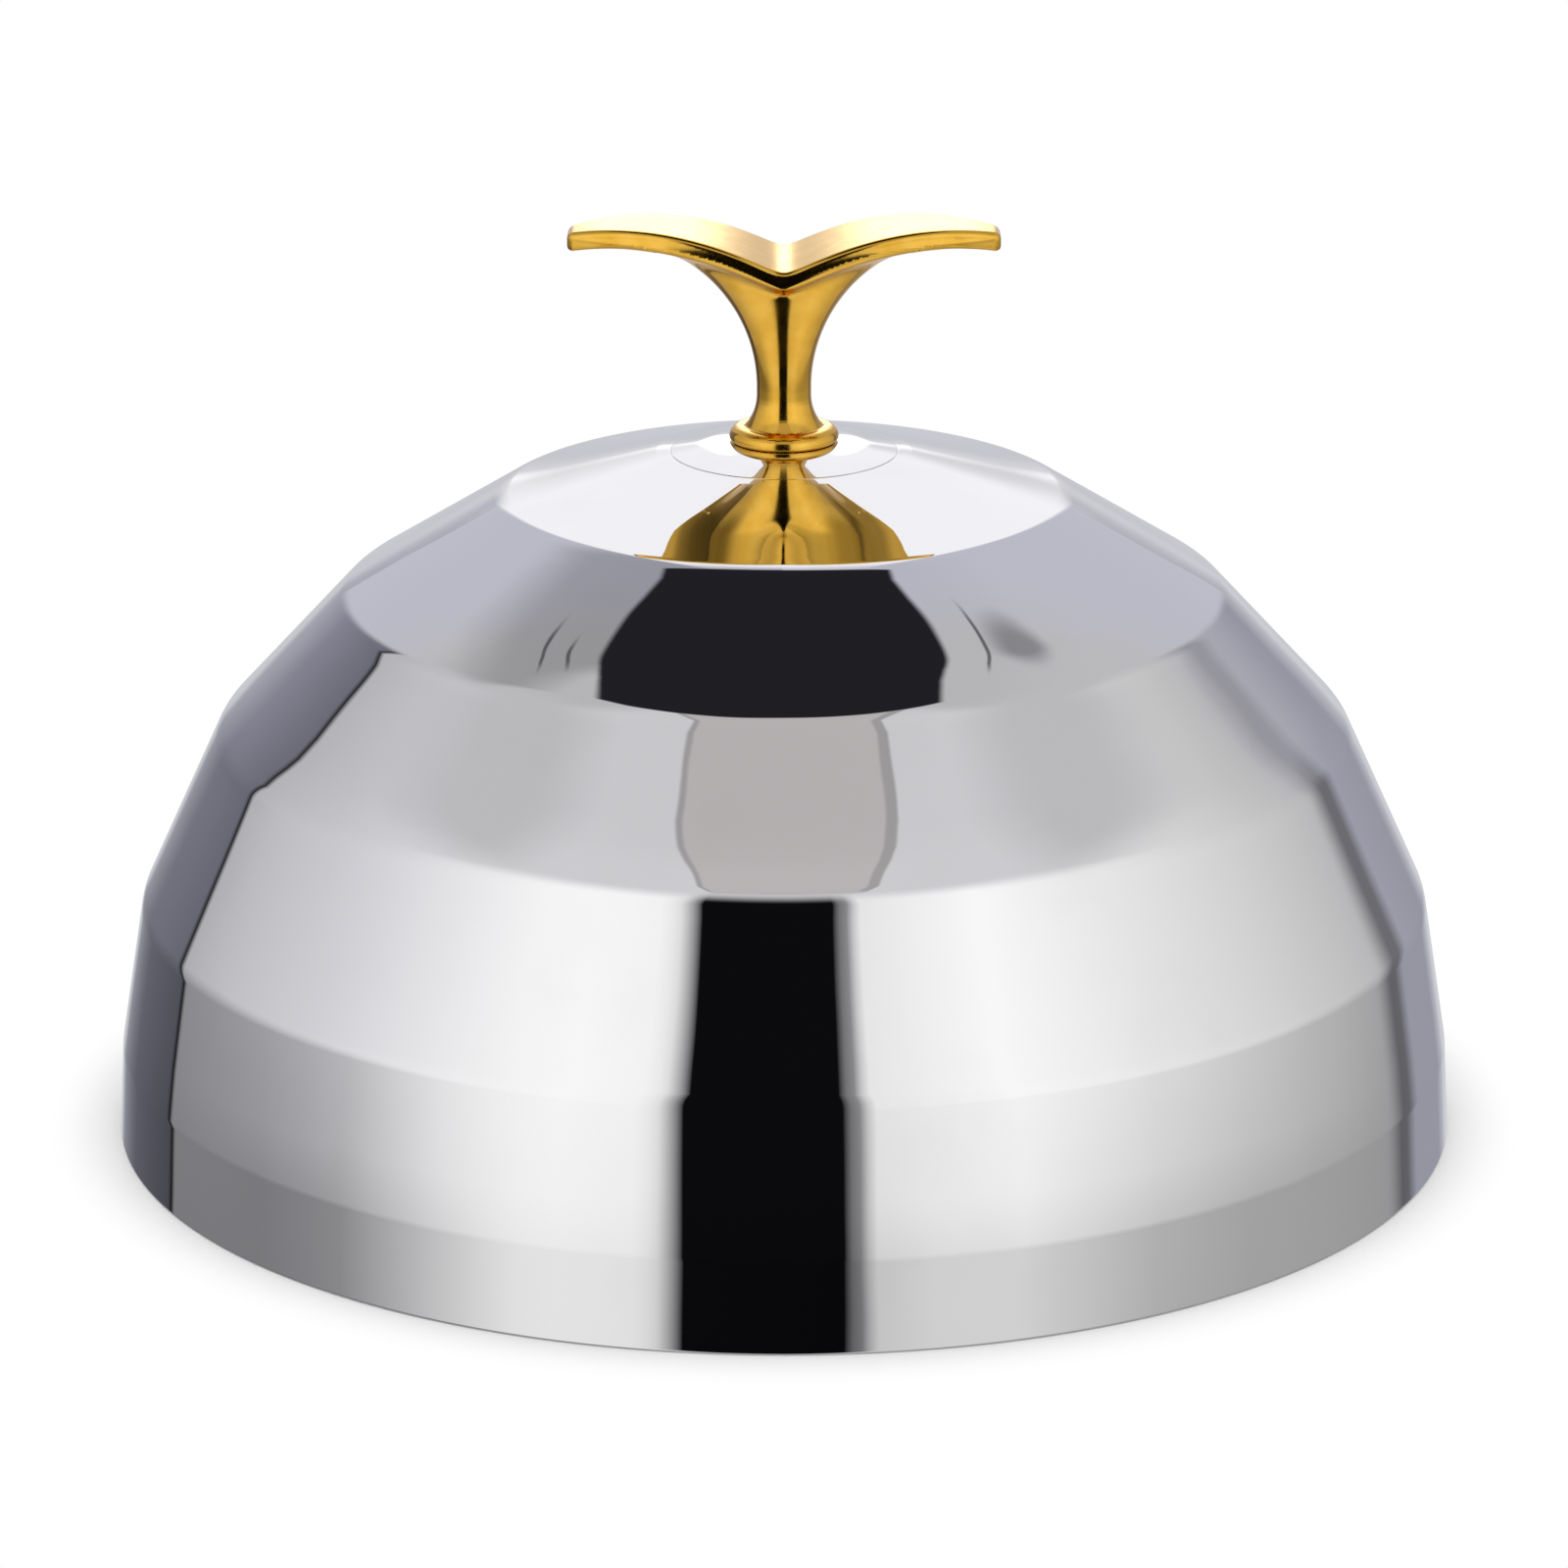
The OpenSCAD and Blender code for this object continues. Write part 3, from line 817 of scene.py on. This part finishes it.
# %% The tent's wall
WALL = [
    (-180, 1.1, 1.0), (-171, 1.0, 1.0), (-164, 0.5, 1.15), (-150, 0.26, 1.25), (-130.5, 0.17, 1.25),
    (-130.4, 0.015, 1.1), (-129.2, 0.015, 1.1), (-129.1, 0.52, 1.05), (-90, 0.73, 1.05), (-50, 1.05, 1.0),
    (-38, 1.09, 1.0), (-25, 1.04, 1.0), (-21.4, 0.9, 1.0), (-19, 0.45, 1.0), (-17.8, 0.2, 1.1),
    (-17.5, 0.004, 1.2), (10, 0.004, 1.2), (10.5, 0.17, 1.05), (12.5, 0.24, 1.05), (15, 0.92, 1.0),
    (40, 1.1, 1.0), (75, 0.88, 1.0), (115, 0.63, 1.0), (126, 0.55, 1.02), (132, 0.17, 1.1),
    (135, 0.17, 1.1), (139, 0.38, 1.2), (156, 0.34, 1.2), (164, 0.56, 1.1), (172, 1.05, 1.0),
    (180, 1.1, 1.0),
]
SHADE = [
    (-180, 0.68), (-164, 0.6), (-150, 0.45), (-128, 0.4), (-100, 0.28), (-80, 0.3), (-60, 0.6), (-45, 0.8),
    (-20, 0.83), (15, 0.67), (25, 0.71), (40, 0.65), (65, 0.49), (85, 0.485), (115, 0.58), (126, 0.62),
    (140, 0.9), (164, 1.0), (180, 0.82),
]


def around(stops):
    """A ramp of (azimuth, colour) stops around the cover."""
    places = [((a + 180) / 360, colour) for a, colour in stops]
    return net.node("ShaderNodeValToRGB", {"stops": places}, {0: azimuth / 360 + 0.5})


wall = around([(a, (v, v, v * blue)) for a, v, blue in WALL])
shade = around([(a, (v, v, v)) for a, v in SHADE])
right = rises(azimuth, -80.0, -55.0)
lit = rises(height, right * 2.0 - 22.0, 8.0 - right * 6.0)
shade = blend(net, lit, shade, WHITE)
wall = net.node("ShaderNodeVectorMath", {"operation": "MULTIPLY"}, {0: wall, 1: shade})
pale = rises(azimuth, 122.0, 130.0) * rises(height, 2.0, 16.0) * 0.55
wall = blend(net, pale, wall, (0.5, 0.5, 0.55, 1.0))
print("the wall changes", len(WALL), "times around the cover, and its shade", len(SHADE), "times")

# %% [markdown]
# The roof starts at the eaves, which come down towards the back, softly in front and more sharply behind.
# It is a little greyer than the wall, darker on the back left, and bluer behind. At the very back the cloth
# is painted in a bluish grey shade near the floor, with a white sail above it and a bright beam of light
# across its foot.

# %% The tent's roof and back
rear = rises(aside, 160.5, 163.5)
eaves = net.math("MINIMUM", 142.0 - aside * 0.88, 37.0) + rear * 55.0
above = (height - eaves) * rises(aside, 112.0, 126.0, 0.43, 1.0)
dip = falls(azimuth, -112.0, -102.0, 0.2) * rises(height, 36.0, 50.0)
roof = rises(aside, 55.0, 80.0, 0.7, 0.57) - dip
bluer = roof * rises(aside, 125.0, 145.0, 1.03, 1.15)
roof = net.node("ShaderNodeCombineXYZ", None, {0: roof, 1: roof, 2: bluer})
cloth = blend(net, rises(above, -3.0, 3.0), wall, roof)
# Painted shade: near the floor the very back of the tent turns bluish grey.
low_back_shade = rises(aside, 162.0, 170.0) * falls(height, -2.0, 18.0)
cloth = blend(net, low_back_shade, cloth, (0.6, 0.605, 0.65, 1.0))
sail = rear * rises(height, 9.0, 20.0) * falls(height, 52.0, 64.0)
cloth = blend(net, sail, cloth, (1.02, 1.02, 1.05, 1.0))
beam = rises(aside, 170.0, 176.0) * rises(height, 5.0, 9.0) * falls(height, 20.0, 30.0)
cloth = blend(net, beam, cloth, (2.6, 2.6, 2.6, 1.0))
print("the tent has a wall, a roof, a sail and a beam of light")

# %% [markdown]
# Overhead, flat places are easier to give than angles: how far across and along a flat ceiling would be
# met. A pale pink panel with grey borders runs from the slit to the opening.

# %% The panel in the tent's roof
across = x / net.math("MAXIMUM", z, 0.05)
along = y / net.math("MAXIMUM", z, 0.05)
ahead = rises(height, 40.0, 46.0) * falls(y, -0.02, 0.0)
border = ahead * falls(net.math("ABSOLUTE", across - 0.01), 0.33, 0.345)
panel = ahead * falls(net.math("ABSOLUTE", across), 0.3, 0.315)
cloth = blend(net, border, cloth, (0.4, 0.39, 0.39, 1.0))
cloth = blend(net, panel, cloth, (0.56, 0.53, 0.53, 1.0))
print("the panel overhead has grey borders")

# %% [markdown]
# The opening is a round black hole, a few degrees behind the point overhead and to the left of it, so the
# cosine of the angle from its middle tells how near its edge is. Folds in the cloth beside it show as one
# dark smear and three thin arcs.

# %% The hole in the tent's roof
def cosine(degrees):
    return math.cos(math.radians(degrees))


back_share, left_share = math.sin(math.radians(3.5)), math.sin(math.radians(1.8))
hole = z * math.sqrt(1 - back_share ** 2 - left_share ** 2) + y * back_share - x * left_share
dimmed = rises(hole, cosine(42), cosine(26), 1.0, 0.94)
cloth = net.node("ShaderNodeVectorMath", {"operation": "SCALE"}, {0: cloth, "Scale": dimmed})
off = net.math("SQRT", (across - 0.6) * (across - 0.6) + (along - 0.41) * (along - 0.41))
cloth = blend(net, falls(off, 0.05, 0.16, 0.6), cloth, (0.1, 0.1, 0.12, 1.0))
FOLDS = ((-1, 32.6, 0.24, 0.52), (-1, 28.6, 0.18, 0.4), (1, 30.2, 0.14, 0.47))
for side, angle, low, high in FOLDS:
    stretch = rises(along, low, low + 0.08) * falls(along, high - 0.08, high) * rises(x * side, 0.0, 0.02)
    thin = falls(net.math("ABSOLUTE", hole - cosine(angle)), 0.001, 0.004, 0.8)
    cloth = blend(net, thin * stretch, cloth, (0.05, 0.05, 0.06, 1.0))
cloth = blend(net, rises(hole, cosine(24.6), cosine(23.4)), cloth, (0.016, 0.016, 0.02, 1.0))
feed(surface, "Emission Color", cloth)
print("the tent's cloth has", len(tent_finish.node_tree.nodes), "nodes")

# %% Hang the tent
bpy.ops.mesh.primitive_uv_sphere_add(segments=64, ring_count=32, radius=30.0, location=(0, 0, 0.08))
tent = bpy.context.object
tent.name = "light_tent"
tent.data.materials.append(tent_finish)
tent.visible_camera = False
tent.visible_diffuse = False
tent.visible_shadow = False
tent.visible_transmission = False
print("the tent stands", round(tent.dimensions.x, 1), "m wide around the cover")

# %% [markdown]
# The floor is matt and pale under the cover, where it takes the soft shadow of the rim, and fades to pure
# white further out. From below it is clear, so that the inside of the dome and the fastening can be seen.

# %% The floor
floor_finish = bpy.data.materials.new("pale_floor")
floor_finish.use_nodes = True
floor_finish.node_tree.nodes.clear()
net = Wire(floor_finish.node_tree)
radius = round_axis(own_point(net))[0]
matt = net.node("ShaderNodeBsdfDiffuse", None, {"Color": (0.94, 0.94, 0.94, 1.0)})
white = net.node("ShaderNodeEmission", None, {"Color": WHITE, "Strength": 1.0})
clear = net.node("ShaderNodeBsdfTransparent", None, {"Color": WHITE})
from_above = net.node("ShaderNodeMixShader", None, {0: rises(radius, 0.147, 0.168), 1: matt, 2: white})
below = net.node("ShaderNodeNewGeometry", out="Backfacing")
mixed = net.node("ShaderNodeMixShader", None, {0: below, 1: from_above, 2: clear})
net.node("ShaderNodeOutputMaterial", None, {"Surface": mixed})
bpy.ops.mesh.primitive_circle_add(vertices=96, radius=12.0, fill_type="NGON", location=(0, 0, -0.0002))
floor = bpy.context.object
floor.name = "pale_floor"
floor.data.materials.append(floor_finish)
floor.visible_glossy = False
print("the floor lies at", round(floor.location.z * 1000, 2), "mm")

# %% [markdown]
# One wide soft lamp overhead lights what isn't a mirror and stays out of the reflections. The world is
# plain white wherever the camera, a mirror or glass sees it, and gives a softer light from all sides.

# %% The lamp
LAMP_Y, LAMP_Z = -0.1, 1.6
lamp_data = bpy.data.lights.new("roof_lamp", "AREA")
lamp_data.shape = "SQUARE"
lamp_data.size = 1.6
lamp_data.energy = 16.0
lamp = bpy.data.objects.new("roof_lamp", lamp_data)
lamp.location = (0.0, LAMP_Y, LAMP_Z)
lamp.rotation_euler = (math.atan2(-LAMP_Y, LAMP_Z), 0.0, 0.0)
lamp.visible_glossy = False
scene.collection.objects.link(lamp)
print(lamp.name, "gives", lamp_data.energy, "W from", LAMP_Z, "m up")

# %% The world
world = bpy.data.worlds.new("white_room")
scene.world = world
world.use_nodes = True
world.node_tree.nodes.clear()
net = Wire(world.node_tree)
path = net.node("ShaderNodeLightPath").socket.node.outputs
seen = Wire(net.tree, path["Is Camera Ray"])
for kind in ("Is Glossy Ray", "Is Transmission Ray"):
    seen = net.math("MAXIMUM", seen, Wire(net.tree, path[kind]))
soft = net.node("ShaderNodeBackground", None, {"Color": WHITE, "Strength": 0.6})
plain = net.node("ShaderNodeBackground", None, {"Color": WHITE, "Strength": 1.0})
sky = net.node("ShaderNodeMixShader", None, {0: seen, 1: soft, 2: plain})
net.node("ShaderNodeOutputWorld", None, {"Surface": sky})
print("the world is white to the camera and gives soft light from all sides")
